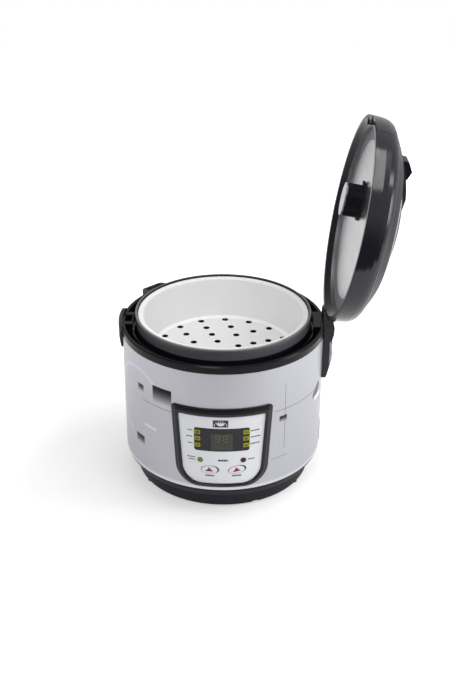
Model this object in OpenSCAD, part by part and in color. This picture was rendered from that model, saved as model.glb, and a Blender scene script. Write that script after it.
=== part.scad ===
// Countertop electric cooker with a hinged domed lid, a lift-out pot, a steaming tray and a
// front control panel. The front faces -Y and the lid hinges at +X. The origin is on the pot's
// axis, on the surface that the feet stand on. The lid is drawn shut and then swung open.

/* [Body] */
// Radius of the steel sleeve
body_r = 134; // [132:0.5:136]
// Height of the black base under the sleeve
base_h = 38; // [36:1:46]
// Height of the steel sleeve
sleeve_h = 172; // [165:1:190]
// Thickness of the sleeve's sheet steel
sheet = 0.8; // [0.6:0.1:1]
// Height of the collar's visible band
collar_h = 10.4; // [9.6:0.1:11]

/* [Lid] */
// Radius of the lid's rim
lid_r = 132; // [131:0.5:132.5]
// Height of the dome above the rim
dome_h = 66; // [60:1:72]
// Angle that the lid stands open
lid_open = 100.5; // [0:0.5:100.5]
// Distance from the body's axis to the hinge pin
hinge_r = 138.4; // [138:0.1:139.5]
// Thickness of the lid's plastic
lid_wall = 2.5; // [2:0.1:3]

/* [Pot and tray] */
// Outer radius of the pot's wall
pot_r = 115.6; // [114:0.2:116]
// Height of the pot's rim above the sleeve's top
pot_rise = 24; // [22:0.5:24]
// Thickness of the pot's wall
pot_wall = 2; // [1.5:0.1:2.5]
// Depth of the steaming tray
tray_depth = 56; // [40:1:60]
// Radius of the tray's steam holes
tray_hole_r = 4.4; // [3:0.1:5]

/* [Control panel] */
// Half the width of the panel along its top edge
panel_half_w = 64.8; // [60:0.2:66]
// Height of the panel above the sleeve's lower edge
panel_z = 5; // [4:0.5:12]
// Height of the panel
panel_h = 117.5; // [112:0.5:120]
// Width of the bezel beside the face
bezel_w = 8.4; // [7:0.1:10]
// Travel of the panel's push buttons
button_travel = 0.8; // [0.4:0.1:1]

/* [Hidden] */
$fn = 180;
eps = 0.01;
gap = 0.1; // between pieces that fit together
run = 0.05; // radial clearance of a pin in its bore

// Heights of the body's levels
sleeve_z = base_h;
collar_z = sleeve_z + sleeve_h;
collar_top = collar_z + collar_h;
pot_top = collar_z + pot_rise;
pot_z = 60;
rim_z = collar_top + 0.7;
hinge_z = rim_z + 5.8;

// Radii that nest inside the sleeve
sleeve_in = body_r - sheet;
liner_r = pot_r + 4.7;
channel_r = 123;
collar_r = body_r + 1.3;

// The collar's lands, where the hinge and the latch interrupt its channel
land_half_w = 23;
latch_land_half_w = 18;

// The channel drains through a slot behind the hinge, into the drip cup
drain_half_w = 5;
drain_h = 2;

// The lid's dome is a cap of a sphere that meets the side wall at the shoulder
shoulder_r = 125;
shoulder_h = 29;
cap_rise = dome_h - shoulder_h;
cap_r = (shoulder_r * shoulder_r + cap_rise * cap_rise) / (2 * cap_rise);
top_panel_r = 104;
recess = 4;
plate_r = 103;
plate_h = 12;
vent_x = -24.4;
vent_w = 43;
vent_d = 31;
valve_x = -78;

// The latch
hook_pin_x = -124;
hook_pin_h = 11.5;
hook_face_x = -127;
button_half_angle = 15;

// The bottom row of the panel, as azimuth from the panel's middle and height above the sleeve's edge
cancel_az = -6.8;
start_az = 8.2;
start_tilt = 10;
oval_z = 31.5;
oval_w = 20.5;
oval_h = 10.6;
round_az = 11.9;
round_z = 45.3;
round_r = 3.5;
board_y = 123.6;
switch_h = 1.4;

// ---------------------------------------------------------------- shared shapes

// A tube, or a disc when r_in is 0
module ring(r_in, r_out, z0, z1) {
    translate([0, 0, z0]) difference() {
        cylinder(r = r_out, h = z1 - z0);
        if (r_in > 0) translate([0, 0, -1]) cylinder(r = r_in, h = z1 - z0 + 2);
    }
}

// A cylinder along Y, centred on the plane y = 0 unless moved
module rod_y(x, z, r, y0, y1) {
    translate([x, y1, z]) rotate([90, 0, 0]) cylinder(r = r, h = y1 - y0);
}

// A box between two opposite corners
module block(low, high) {
    translate(low) cube(high - low);
}

// Copies of the children at the same angle on both sides of the X axis
module both_sides() {
    children();
    mirror([0, 1, 0]) children();
}

// An outline whose corners are arcs, each with its own radius
function corner(a, b, c, r, n) =
    let (u = (a - b) / norm(a - b), v = (c - b) / norm(c - b), half = acos(u * v) / 2,
        mid = (u + v) / norm(u + v), centre = b + mid * r / sin(half), start = b + u * r / tan(half),
        end = b + v * r / tan(half), a0 = atan2(start[1] - centre[1], start[0] - centre[0]),
        a1 = atan2(end[1] - centre[1], end[0] - centre[0]),
        turn = (a1 - a0 > 180) ? a1 - a0 - 360 : (a1 - a0 < -180) ? a1 - a0 + 360 : a1 - a0)
    [for (i = [0:n]) centre + r * [cos(a0 + turn * i / n), sin(a0 + turn * i / n)]];

function rounded(points, radii, n = 6) =
    let (m = len(points))
    [for (i = [0:m - 1]) each corner(points[(i + m - 1) % m], points[i], points[(i + 1) % m], radii[i], n)];

function ellipse(w, h, n = 40) = [for (i = [0:n - 1]) [w / 2 * cos(360 * i / n), h / 2 * sin(360 * i / n)]];

// Height of the dome above the rim at a distance from its middle
function dome(r) = dome_h - cap_r + sqrt(cap_r * cap_r - r * r);

function dome_arc(r0, r1, drop, n) =
    [for (i = [0:n]) let (r = r0 + (r1 - r0) * i / n) [r, dome(r) - drop]];

// A round wire wound into a helix along Z
module coil(mean_r, wire_r, turns, height) {
    sides = 6;
    per_turn = 12;
    rings = turns * per_turn;
    slope = atan2(height / turns, 2 * PI * mean_r);
    points = [for (i = [0:rings], j = [0:sides - 1])
        let (a = 360 * i / per_turn, b = 360 * j / sides)
        let (out = mean_r + wire_r * cos(b), up = wire_r * sin(b))
        [out * cos(a) + up * sin(slope) * sin(a), out * sin(a) - up * sin(slope) * cos(a),
            height * i / rings + up * cos(slope)]];
    side_faces = [for (i = [0:rings - 1], j = [0:sides - 1])
        let (k = (j + 1) % sides)
        [i * sides + j, i * sides + k, (i + 1) * sides + k, (i + 1) * sides + j]];
    start_face = [for (j = [0:sides - 1]) sides - 1 - j];
    end_face = [for (j = [0:sides - 1]) rings * sides + j];
    polyhedron(points, concat(side_faces, [start_face], [end_face]), convexity = 10);
}

// Swings what is drawn for the shut lid to where the lid stands
module on_lid() {
    translate([hinge_r, 0, hinge_z]) rotate([0, lid_open, 0]) translate([-hinge_r, 0, -hinge_z]) children();
}

// Lifts what is drawn from the rim's plane
module above_rim() {
    translate([0, 0, rim_z]) children();
}

// ---------------------------------------------------------------- base

foot_r = 6;
foot_ring_r = 111.6;
foot_az = [30, 150, 210, 330];
screw_ring_r = 110;
flange_top = 8;

module base_shell() {
    color("#2b2b30") difference() {
        rotate_extrude() polygon([[106, 3], [117.6, 3], [118.4, 4], [122.6, 21.4], [126, 24],
            [sleeve_in - 1, 33.5], [body_r - 0.4, base_h - 1.2], [body_r - 0.4, base_h],
            [sleeve_in - gap, base_h], [sleeve_in - gap, base_h + 6], [129.6, base_h + 6],
            [129.6, base_h - 3], [123, 26.4], [119.4, 23.4], [115.6, flange_top], [106, flange_top]]);
        for (az = foot_az) rotate([0, 0, az]) translate([foot_ring_r, 0, 2]) cylinder(r = 2.6, h = 4.2);
        for (az = [0:90:270]) rotate([0, 0, az]) translate([screw_ring_r, 0, 2]) {
            cylinder(r = 3.6, h = 3.4);
            cylinder(r = 1.8, h = 8);
        }
        rotate([0, 0, -68]) block([114, -4, 0], [124, 4, 5]);
    }
}

module bottom_cover() {
    color("#55565a") {
        difference() {
            ring(0, 114.6, flange_top, flange_top + 1.5);
            for (az = [0:30:330], r = [40:14:82]) rotate([0, 0, az]) block([r, -2, 0], [r + 9, 2, 20]);
            for (az = [0:90:270]) rotate([0, 0, az]) translate([screw_ring_r, 0, 0])
                cylinder(r = 1.8, h = 20);
        }
        for (az = [0:90:270]) rotate([0, 0, az]) translate([screw_ring_r - 0.6, 0, flange_top + 1.5])
            difference() {
                cylinder(r = 3.6, h = 6.5);
                translate([0.6, 0, -1]) cylinder(r = 1.65, h = 9);
            }
    }
}

module rubber_feet() {
    color("#141416") for (az = foot_az) rotate([0, 0, az]) translate([foot_ring_r, 0, 0]) {
        cylinder(r = foot_r - 0.2, h = 3);
        cylinder(r = 2.5, h = 6);
    }
}

module base_screws() {
    color("silver") for (az = [0:90:270]) rotate([0, 0, az]) translate([screw_ring_r, 0, 0]) {
        difference() {
            translate([0, 0, 3.4]) cylinder(r = 3.2, h = 2);
            block([-2.2, -0.4, 3], [2.2, 0.4, 4.2]);
        }
        translate([0, 0, 5.4]) cylinder(r = 1.6, h = 9);
    }
}

// ---------------------------------------------------------------- sleeve and inside

inlet_z = 56;
inlet_half_w = 15;
inlet_half_h = 11;

// The panel's outline seen from the front, drawn in by inset on every side
function panel_outline(inset) =
    let (lean = 6.4, z0 = sleeve_z + panel_z + inset * 0.65, z1 = sleeve_z + panel_z + panel_h - inset * 1.45,
        top = panel_half_w - inset, bottom = panel_half_w - lean - inset)
    rounded([[-top, z1], [-bottom, z0], [bottom, z0], [top, z1]],
        [max(5 - inset / 3, 2), 30 - inset * 0.6, 30 - inset * 0.6, max(5 - inset / 3, 2)], 8);

// A plate that follows the sleeve, with the given outline from the front
module front_plate(r_in, r_out, outline) {
    intersection() {
        ring(r_in, r_out, sleeve_z, collar_z);
        rotate([90, 0, 0]) translate([0, 0, 90]) linear_extrude(60) polygon(outline);
    }
}

module front_hole(outline) {
    rotate([90, 0, 0]) translate([0, 0, 90]) linear_extrude(60) polygon(outline);
}

module outer_sleeve() {
    color("#b4b4bc") difference() {
        ring(sleeve_in, body_r, sleeve_z, collar_z);
        front_hole(panel_outline(3));
        block([100, -inlet_half_w - gap, inlet_z - inlet_half_h - gap],
            [150, inlet_half_w + gap, inlet_z + inlet_half_h + gap]);
    }
}

module inner_liner() {
    floor_z = 46;
    color("#9a9ca0") difference() {
        rotate_extrude() polygon([[0, floor_z], [liner_r - 6, floor_z], [liner_r, floor_z + 6],
            [liner_r, collar_z - 6], [128, collar_z - 6], [128, collar_z - 5], [liner_r - 0.8, collar_z - 5],
            [liner_r - 0.8, floor_z + 6.4], [liner_r - 6.4, floor_z + 1], [0, floor_z + 1]]);
        cylinder(r = 20.2, h = 60);
        for (az = [75, 105]) rotate([0, 0, az]) translate([70, 0, 40]) cylinder(r = 4, h = 20);
        for (az = [15:60:315]) rotate([0, 0, az]) translate([102, 0, 40]) cylinder(r = 3, h = 20);
    }
}

element_ring_r = 70;
element_r = 3.4;

module heating_plate() {
    color("#a8a9ac") difference() {
        rotate_extrude() polygon([[15.8, 52], [92, 52], [95, 55], [95, 58.6], [92, 60], [15.8, 60]]);
        rotate_extrude() translate([element_ring_r, 53]) circle(r = element_r + gap);
        ring(28, 31, 58.8, 61);
    }
}

module heating_element() {
    color("#6f6a66") {
        rotate([0, 0, 105]) rotate_extrude(angle = 330) translate([element_ring_r, 53]) circle(r = element_r);
        for (az = [75, 105]) rotate([0, 0, az]) translate([element_ring_r, 0, 36]) cylinder(r = 2, h = 15.4);
    }
}

module heater_posts() {
    color("#c8c2b4") for (az = [30:120:270]) rotate([0, 0, az]) translate([84, 0, 47]) cylinder(r = 4, h = 5);
}

module thermal_fuse() {
    color("#d8d2c0") {
        rod_y(44, 49.6, 2.4, -9, 9);
        block([38, -3, 48.4], [41.9, 3, 52]);
    }
}

module sensor_cup() {
    color("#b8b9bc") rotate_extrude() polygon([[0, 60], [14, 60], [15, 59], [15, 50], [17.4, 50],
        [17.4, 48.6], [13, 48.6], [13, 58.4], [0, 58.4]]);
}

sensor_spring_z = 37;

module sensor_spring() {
    color("#8c8d90") translate([0, 0, sensor_spring_z + 0.9]) coil(9, 0.8, 5, 19.4);
}

module sensor_bracket() {
    color("#77787b") difference() {
        rotate_extrude() polygon([[0, 36], [20, 36], [20, 45], [27, 45], [27, 46], [19, 46], [19, 37],
            [0, 37]]);
        cylinder(r = 3, h = 60);
    }
}

module collar_ring() {
    color("#26262b") difference() {
        union() {
            rotate_extrude() polygon([[sleeve_in - gap, collar_z - 7], [sleeve_in - gap, collar_z],
                [collar_r - 0.3, collar_z], [collar_r, collar_z + 2.4], [collar_r, collar_top - 1.6],
                [collar_r - 1.2, collar_top], [131, collar_top], [130, collar_top - 1], [129.8, collar_z],
                [channel_r, collar_z - 2], [channel_r, collar_z + 3.4], [channel_r - 0.6, collar_z + 4],
                [liner_r, collar_z + 4], [liner_r, collar_z - 5], [130, collar_z - 5],
                [130, collar_z - 7]]);
            intersection() {
                ring(liner_r, 131.4, collar_z - 3, collar_top);
                union() {
                    block([100, -land_half_w, 0], [140, land_half_w, 300]);
                    block([-140, -latch_land_half_w, 0], [-100, latch_land_half_w, 300]);
                }
            }
        }
        block([-140, -9.5, collar_top - 8.4], [-121.2, 9.5, collar_top + 1]);
        block([125, -drain_half_w, collar_z], [150, drain_half_w, collar_z + drain_h]);
        block([125, -land_half_w - 2, collar_z], [129, land_half_w + 2, collar_z + drain_h]);
    }
}

// ---------------------------------------------------------------- pot and tray

// The pot's wall has a bead on its inside that the tray's rim rests on
ledge_z = pot_top - 4.6;

module inner_pot() {
    rim_r = pot_r + 1;
    corner_r = 22;
    inside = pot_r - pot_wall;
    floor_t = 2.6;
    color("#54565b") rotate_extrude() polygon(concat([[0, pot_z]],
        [for (i = [0:8]) [pot_r - corner_r + corner_r * sin(90 * i / 8),
            pot_z + corner_r - corner_r * cos(90 * i / 8)]],
        [[pot_r, pot_top - 3.4], [rim_r, pot_top - 2.6], [rim_r, pot_top - 0.5], [rim_r - 0.6, pot_top],
            [inside + 0.4, pot_top], [inside, pot_top - 0.6], [inside, ledge_z], [inside - 1.6, ledge_z],
            [inside - 1.6, ledge_z - 1], [inside, ledge_z - 2.8]],
        [for (i = [8:-1:0]) [inside - corner_r + corner_r * sin(90 * i / 8),
            pot_z + floor_t + corner_r - corner_r * cos(90 * i / 8)]],
        [[0, pot_z + floor_t]]));
}

// The steam holes lie on rings, with four more holes on each ring than on the one inside it
tray_ring_pitch = 22;
tray_rings = 4;
tray_hole_turn = 21.3;

module steam_tray() {
    rim_r = 112.6;
    rim_top = ledge_z + 2.2;
    floor_z = rim_top - tray_depth;
    floor_r = 99;
    bend = 5;
    wall = 1.8;
    color("#f2f2f0") difference() {
        rotate_extrude() polygon([[0, floor_z - wall], [floor_r - bend, floor_z - wall],
            [floor_r, floor_z + 1], [107.4, rim_top - 6], [108.4, ledge_z], [rim_r, ledge_z],
            [rim_r + 0.4, rim_top - 1.2], [rim_r, rim_top], [107.4, rim_top], [105.8, rim_top - 1.6],
            [104.8, rim_top - 6.4], [floor_r - 1.8, floor_z + 2.6], [floor_r - bend - 1, floor_z],
            [0, floor_z]]);
        for (k = [1:tray_rings], i = [0:4 * k - 1]) rotate([0, 0, tray_hole_turn + 90 * i / k])
            translate([tray_ring_pitch * k, 0, floor_z - 5]) cylinder(r = tray_hole_r, h = 10);
    }
}

// ---------------------------------------------------------------- control panel

// Draws the children on the panel, with X across it, Y up it and Z outward from the body's axis
module on_panel(az, z) {
    rotate([0, 0, az]) translate([0, 0, sleeve_z + z]) rotate([90, 0, 0]) children();
}

window_half_w = 35.4;
window_z = 59.5;
window_h = 34;
face_r = body_r + 0.4;

function window_outline(inset) =
    let (z0 = sleeve_z + window_z + inset, z1 = sleeve_z + window_z + window_h - inset)
    let (w = window_half_w - inset)
    rounded([[-w, z1], [-w, z0], [w, z0], [w, z1]], [3, 3, 3, 3]);

module panel_bezel() {
    color("#1d1d21") difference() {
        union() {
            front_plate(body_r + run, body_r + 1.6, panel_outline(0));
            front_plate(132.6, body_r + 3, panel_outline(3.2));
        }
        front_hole(panel_outline(bezel_w));
    }
}

module panel_face() {
    color("#dedee2") difference() {
        front_plate(132.7, face_r, panel_outline(bezel_w + gap));
        front_hole(window_outline(0));
        for (place = [[cancel_az, 0], [start_az, start_tilt]]) on_panel(place[0], oval_z)
            rotate([0, 0, place[1]]) linear_extrude(150) polygon(ellipse(oval_w + 0.8, oval_h + 0.8));
        for (az = [-round_az, round_az]) on_panel(az, round_z) cylinder(r = round_r + 0.3, h = 150);
    }
}

module display_window() {
    color("#2c2d38") front_plate(133, face_r + 0.2, window_outline(0.1));
}

module display_module() {
    color("#4a4a42") block([-17, -131.5, sleeve_z + 60], [17, -board_y, sleeve_z + 88]);
}

module mode_lamps() {
    color("#c9d43c") for (az = [-13.4, 13.4], z = [68, 77.8, 87.2]) intersection() {
        on_panel(az, z) translate([-3.5, -2.8, 0]) cube([7, 5.6, 150]);
        ring(face_r + 0.2, face_r + 0.5, sleeve_z, collar_z);
    }
}

// The end of a button's stem, which stands off its switch by a little more than the travel
function stem_end(az) = (board_y + switch_h + button_travel + 0.6) / cos(az);

// A panel button has a cap, a shoulder that stays behind the face and a stem towards the switch
module oval_button(az, tilt) {
    on_panel(az, oval_z) rotate([0, 0, tilt]) {
        translate([0, 0, 131]) linear_extrude(body_r + 1.6 - 131) polygon(ellipse(oval_w, oval_h));
        translate([0, 0, 130]) linear_extrude(1) polygon(ellipse(oval_w + 2.4, oval_h + 2.4));
        translate([0, 0, stem_end(az)]) cylinder(r = 2, h = 131 - stem_end(az));
    }
}

module round_button(az) {
    on_panel(az, round_z) {
        translate([0, 0, 131]) cylinder(r = round_r, h = body_r + 1.4 - 131);
        translate([0, 0, 130]) cylinder(r = round_r + 1.2, h = 1);
        translate([0, 0, stem_end(az)]) cylinder(r = 1.6, h = 131 - stem_end(az));
    }
}

module cancel_button() {
    color("#f0e4e4") oval_button(cancel_az, 0);
}

module start_button() {
    color("#f0e4e4") oval_button(start_az, start_tilt);
}

module timer_button() {
    color("#6b2a35") round_button(round_az);
}

module warm_button() {
    color("#8da22c") round_button(-round_az);
}

module control_board() {
    color("#2f6b42") block([-44, -board_y, sleeve_z + 24], [44, -board_y + 1.6, sleeve_z + 96]);
}

module tact_switches() {
    color("#3a3a3a") {
        for (az = [cancel_az, start_az]) tact_switch(az, oval_z);
        for (az = [-round_az, round_az]) tact_switch(az, round_z);
    }
}

module tact_switch(az, z) {
    x = board_y * tan(az);
    block([x - 3, -board_y - switch_h, sleeve_z + z - 3], [x + 3, -board_y, sleeve_z + z + 3]);
}

// ---------------------------------------------------------------- power

module power_board() {
    color("#2f6b42") difference() {
        block([20, -62, 14], [86, -8, 15.6]);
        for (x = [25, 81], y = [-57, -13]) translate([x, y, 10]) cylinder(r = 1.6, h = 10);
    }
    color("#55565a") for (x = [25, 81], y = [-57, -13]) translate([x, y, flange_top + 1.5])
        cylinder(r = 3, h = 4.5);
}

module power_relay() {
    color("#2b62a8") block([28, -50, 15.6], [48, -34, 31]);
    color("#222") translate([66, -42, 15.6]) cylinder(r = 6, h = 18);
}

module power_inlet() {
    color("#17171a") difference() {
        union() {
            intersection() {
                ring(body_r + run, body_r + 0.7, 0, 200);
                block([100, -inlet_half_w - 2, inlet_z - inlet_half_h - 1.6],
                    [150, inlet_half_w + 2, inlet_z + inlet_half_h + 1.6]);
            }
            difference() {
                intersection() {
                    block([122, -inlet_half_w, inlet_z - inlet_half_h],
                        [150, inlet_half_w, inlet_z + inlet_half_h]);
                    cylinder(r = body_r + 0.7, h = 200);
                }
                cylinder(r = 121.4, h = 200);
            }
        }
        block([123.6, -12.2, inlet_z - 8.2], [150, 12.2, inlet_z + 8.2]);
    }
}

module inlet_pins() {
    color("silver") for (y = [-7, 0, 7])
        block([123.6, y - 1, inlet_z - (y == 0 ? -1 : 4)], [131.6, y + 1, inlet_z + (y == 0 ? 5 : 0)]);
}

// ---------------------------------------------------------------- hinge side

pin_r = 2.5;
knuckle_r = 5.5;
ear_in = 13.4;
bracket_half_w = 23;
bracket_r = 147;
pin_reach = 19;

module hinge_bracket() {
    color("#222226") difference() {
        union() {
            difference() {
                rotate([90, 0, 0]) translate([0, 0, -bracket_half_w]) linear_extrude(2 * bracket_half_w)
                    polygon(rounded([[120, collar_z - 11], [bracket_r - 3, collar_z - 11],
                        [bracket_r - 0.4, collar_z - 1], [bracket_r, collar_top], [120, collar_top]],
                        [1, 2, 2, 2, 1], 4));
                cylinder(r = collar_r + gap, h = 400);
            }
            both_sides() {
                difference() {
                    block([132.4, ear_in, collar_top - 1], [bracket_r - 2, bracket_half_w - 0.6, hinge_z]);
                    cylinder(r = collar_r + gap, h = collar_top + 0.2);
                    cylinder(r = lid_r + 1.2, h = 400);
                }
                rod_y(hinge_r, hinge_z, 6, ear_in, bracket_half_w - 0.6);
            }
        }
        rod_y(hinge_r, hinge_z, pin_r + run, -pin_reach - gap, 30);
        rotate_extrude() polygon([[0, hinge_z - 1], [lid_r + 0.2, hinge_z - 1], [lid_r + 0.2, 300],
            [0, 300]]);
        block([136.8, -16, 190], [143.2, 16, collar_z + 3]);
        block([134, -drain_half_w, collar_z], [137, drain_half_w, collar_z + drain_h]);
    }
}

module hinge_pin() {
    color("silver") rod_y(hinge_r, hinge_z, pin_r, -pin_reach, bracket_half_w - 0.8);
}

module hinge_spring() {
    color("#8c8d90") translate([hinge_r, 5, hinge_z]) rotate([90, 0, 0]) coil(3.9, 0.7, 5, 10);
}

cup_low = 146;
cup_top = 196;
holder_half_w = 22;

module drip_cup_holder() {
    color("#28282d") difference() {
        rotate([90, 0, 0]) translate([0, 0, -holder_half_w]) linear_extrude(2 * holder_half_w)
            polygon([[125, cup_low - 2], [138, cup_low - 2], [141.6, cup_low + 12],
                [141.6, collar_z - 11.2], [125, collar_z - 11.2]]);
        cylinder(r = body_r + 0.1, h = 300);
        block([136.6, -19.4, cup_low - 0.1], [160, 19.4, 300]);
    }
}

module drip_cup() {
    half_w = 19.1;
    wall = 1.2;
    nub_z = cup_low + 27;
    outer = [[137, cup_low], [139.6, cup_low], [145.4, nub_z - 1], [145.4, cup_top], [137, cup_top]];
    color("#dfe3e6") {
        difference() {
            rotate([90, 0, 0]) translate([0, 0, -half_w]) linear_extrude(2 * half_w) polygon(outer);
            rotate([90, 0, 0]) translate([0, 0, -half_w + wall]) linear_extrude(2 * (half_w - wall))
                polygon([[137 + wall, cup_low + wall], [139.2, cup_low + wall], [145.4 - wall, nub_z - 0.4],
                    [145.4 - wall, cup_top + 1], [137 + wall, cup_top + 1]]);
        }
        block([145.4 - eps, -9, nub_z - 1], [147.2, 9, nub_z + 1]);
    }
}

// ---------------------------------------------------------------- latch side and ladle lug

module keeper_sector(half_angle) {
    rotate_extrude(angle = 2 * half_angle, start = 180 - half_angle) children();
}

// A lip for the fingers, a skirt over the sleeve and a bar that the hook catches under
module latch_keeper() {
    lip_top = collar_top + 4.4;
    color("#26262b") {
        intersection() {
            keeper_sector(14) polygon([[collar_r + gap, collar_z - 2], [139, collar_z - 2],
                [139, lip_top - 2], [137.6, lip_top], [133.6, lip_top], [133.6, collar_top + 0.8],
                [collar_r + gap, collar_top + 0.2]]);
            rotate([90, 0, -90]) linear_extrude(150) polygon(rounded([[-40, 150], [40, 150],
                [32, lip_top], [-32, lip_top]], [1, 1, 16, 16], 8));
        }
        keeper_sector(8) polygon([[body_r + 0.1, collar_z - 23], [136.2, collar_z - 23],
            [137.2, collar_z - 20], [139, collar_z - 6], [139, collar_z - 1.8],
            [collar_r + gap, collar_z - 1.8], [body_r + 0.1, collar_z - 3]]);
        block([-136, -8.6, collar_top - 3.1], [-131, 8.6, collar_top - 0.9]);
    }
}

lug_az = 134.5;

module ladle_lug() {
    color("#3a3a3f") difference() {
        rotate([0, 0, lug_az]) translate([0, 0, collar_top - 8]) linear_extrude(7.6)
            polygon(rounded([[125, -20], [147.4, -20], [147.4, 20], [125, 20]], [1, 7, 7, 1]));
        cylinder(r = collar_r + gap, h = 400);
        rotate([0, 0, lug_az]) block([138.2, -13, 0], [145, 13, 300]);
    }
}

// ---------------------------------------------------------------- lid

// The wall of the shell, from the rim round the shoulder to the edge of the top panel
function shell_outside() = concat([[lid_r, 0.6], [lid_r, 4], [lid_r - 0.4, 13], [lid_r - 1.2, 19.6],
    [lid_r - 2.8, 24.6], [lid_r - 5.2, 28.2], [lid_r - 9, 31]], dome_arc(117, top_panel_r, 0, 3));
function shell_inside() = [for (p = shell_outside()) p[1] < 20 ? p - [lid_wall, 0]
    : p[1] < 30 ? p - lid_wall * [0.85, 0.6] : p - lid_wall * [0.35, 0.93]];
function shell_profile() = let (back = shell_inside(), m = len(back))
    concat(shell_outside(), [for (i = [m - 1:-1:0]) back[i]]);

module button_sector(extra, h0, h1) {
    rotate_extrude(angle = 2 * (button_half_angle + extra), start = 180 - button_half_angle - extra)
        translate([110, h0]) square([30, h1 - h0]);
}

module lid_cover() {
    color("#1c1c20") on_lid() above_rim() difference() {
        rotate_extrude() polygon(shell_profile());
        button_sector(0.3, 0, 26.4);
    }
}

// The part of the shell at the lid's tip, with a rib on its back that pushes the hook
module release_button() {
    color("#232327") on_lid() above_rim() {
        intersection() {
            rotate_extrude() polygon(shell_profile());
            button_sector(0, 1.4, 26);
        }
        block([-lid_r + 1, -4, 1.6], [hook_face_x - run, 4, 2.9]);
    }
}

boss_az = [0, 120, 240];
boss_r = 62;

module lid_top_panel() {
    edge = top_panel_r - gap;
    color("#2a2a30") on_lid() above_rim() {
        difference() {
            rotate_extrude() polygon(concat(dome_arc(edge, 98, 0, 1), dome_arc(96.4, 0, recess, 9),
                dome_arc(0, 96.8, recess + 2.2, 9), dome_arc(98, edge - 0.4, 2.4, 1)));
            translate([valve_x, 0, 0]) cylinder(r = 11.6, h = 100);
            trim_strip(0.1, 1.1);
        }
        for (az = boss_az) rotate([0, 0, az]) translate([boss_r, 0, 18]) difference() {
            cylinder(r = 4, h = dome(boss_r) - recess - 2.2 - 18 + 0.6);
            translate([0, 0, -1]) cylinder(r = 1.4, h = 18);
        }
    }
}

// The raised seat under the valve, which runs out flat towards the lid's middle
spine_top = 61.2;

module lid_spine() {
    color("#1a1a1d") on_lid() above_rim() difference() {
        intersection() {
            rotate_extrude() polygon(concat(dome_arc(97, 0, -0.6, 12), dome_arc(0, 97, recess - 0.05, 12)));
            linear_extrude(spine_top) polygon(rounded([[-95, 20], [-95, -20], [-60, -26], [-24, -15],
                [-24, 15], [-60, 26]], [8, 8, 40, 10, 10, 40], 8));
        }
        translate([valve_x, 0, 0]) cylinder(r = 10.8, h = 100);
    }
}

// A corded strip let into the top panel's edge on both sides
trim_az = [75, 128];
trim_r = [98.8, 102.2];

module trim_strip(play, sink) {
    both_sides() rotate_extrude(angle = trim_az[1] - trim_az[0] + play / 2, start = trim_az[0] - play / 4)
        polygon([[trim_r[0] - play, dome(trim_r[0]) - sink], [trim_r[1] + play, dome(trim_r[1]) - sink],
            [trim_r[1] + play, dome(trim_r[1]) + 0.9], [trim_r[0] - play, dome(trim_r[0]) + 0.9]]);
}

module lid_trim() {
    color("#c9c9cc") on_lid() above_rim() trim_strip(0, 1);
}

module lid_base() {
    color("#2c2c31") on_lid() above_rim() difference() {
        rotate_extrude() polygon([[lid_r, 0], [lid_r, 0.5], [lid_r - lid_wall - gap, 0.5],
            [lid_r - lid_wall - gap, 3.8], [lid_r - lid_wall - 0.6, 10], [122, 18], [0, 18], [0, 15.6],
            [119.4, 15.6], [119.4, 7], [126.5, 0]]);
        rotate_extrude(angle = 33, start = 163.5) translate([125.8, 1]) square([10, 20]);
        block([-131, -10.8, -1], [-120, 10.8, 15.5]);
        rod_y(hook_pin_x, hook_pin_h, 1.5 + 0.02, -13.5, 13.5);
        translate([vent_x, 0, 0]) cylinder(r = 10, h = 30);
        for (az = boss_az) rotate([0, 0, az]) translate([boss_r, 0, 0]) cylinder(r = 1.8, h = 30);
    }
}

module lid_screws() {
    color("silver") on_lid() above_rim() for (az = boss_az) rotate([0, 0, az])
        translate([boss_r, 0, 13.4]) {
            difference() {
                cylinder(r = 3.2, h = 2.15);
                block([-2.2, -0.4, -1], [2.2, 0.4, 0.7]);
            }
            cylinder(r = 1.35, h = 16);
        }
}

module lid_hinge_arm() {
    half_w = 12.6;
    color("#1e1e22") on_lid() above_rim() difference() {
        union() {
            rod_y(hinge_r, hinge_z - rim_z, knuckle_r, -half_w, half_w);
            difference() {
                rotate([90, 0, 0]) translate([0, 0, -half_w]) linear_extrude(2 * half_w)
                    polygon([[126, 1.6], [137, 1.2], [143, 7.4], [140.4, 15.6], [137.8, 26.4],
                        [136.6, 26.4], [132.8, 16.6], [126, 16.6]]);
                rotate_extrude() polygon([[0, -5], [lid_r + run, -5], [lid_r + run, 4], [lid_r - 0.35, 13],
                    [lid_r - 0.35, 40], [0, 40]]);
            }
        }
        block([hinge_r - 7, -6, -6], [hinge_r + 9, 6, 13]);
        rod_y(hinge_r, hinge_z - rim_z, pin_r + run, -30, 30);
    }
}

module inner_plate() {
    t = 0.8;
    color("#c4c5c8") on_lid() above_rim() difference() {
        rotate_extrude() polygon([[0, plate_h], [plate_r - 1, plate_h], [plate_r, plate_h + 1],
            [plate_r, 14.6], [118.2, 14.6], [118.2, 7], [119, 7], [119, 14.6 + t], [plate_r - t, 14.6 + t],
            [plate_r - t, plate_h + 1.2], [plate_r - 1.4, plate_h + t], [0, plate_h + t]]);
        translate([vent_x, 0, 0]) cylinder(r = 8.2, h = 30);
    }
}

module lid_seal() {
    color("#8b8b8e") on_lid() above_rim() rotate_extrude() polygon([[plate_r + 0.2, 13.5],
        [plate_r + 3, 13.2], [116.8, 13.2], [118, 12], [118, 14.5], [plate_r + 0.2, 14.5]]);
}

// The steam vent's outline, drawn in by inset
module vent_oval(inset, z0, z1) {
    translate([0, 0, z0]) linear_extrude(z1 - z0)
        polygon(ellipse(vent_w - 2 * inset, vent_d - 2 * inset, 72));
}

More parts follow.
